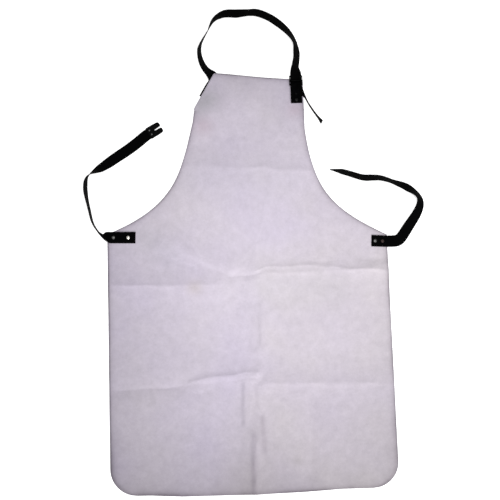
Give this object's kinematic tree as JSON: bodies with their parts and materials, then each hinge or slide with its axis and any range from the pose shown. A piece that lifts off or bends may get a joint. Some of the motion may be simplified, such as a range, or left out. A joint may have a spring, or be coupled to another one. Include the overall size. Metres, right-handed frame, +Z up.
{
  "type": "leather welding apron",
  "caption": "Split-leather bib apron lying flat, with a webbing neck loop, a threaded slide and riveted waist straps.",
  "frame": {"origin": "middle of the outer box in plan, on the surface that the apron lies on", "axes": "+Z up out of the leather face that shows, +Y from the hem to the bib, +X to the right of the picture"},
  "size_m": [0.7368, 1.0602, 0.0327],
  "materials": {
    "leather": "napped suede, matte",
    "webbing": "woven webbing, matte",
    "plastic": "moulded, satin",
    "rivet": "plated, satin"
  },
  "bodies": {
    "root": {"apron_panel": "leather", "neck_strap": "webbing", "neck_tab": "webbing", "neck_slide": "plastic", "waist_clip": "plastic", "clip_rivet_1": "rivet", "clip_rivet_2": "rivet", "left_waist_strap": "webbing", "right_waist_strap": "webbing", "left_waist_rivet_1": "rivet", "left_waist_rivet_2": "rivet", "right_waist_rivet_1": "rivet", "right_waist_rivet_2": "rivet", "neck_right_rivet_1": "rivet", "neck_right_rivet_2": "rivet", "neck_left_rivet_1": "rivet", "neck_left_rivet_2": "rivet"}
  },
  "joints": []
}
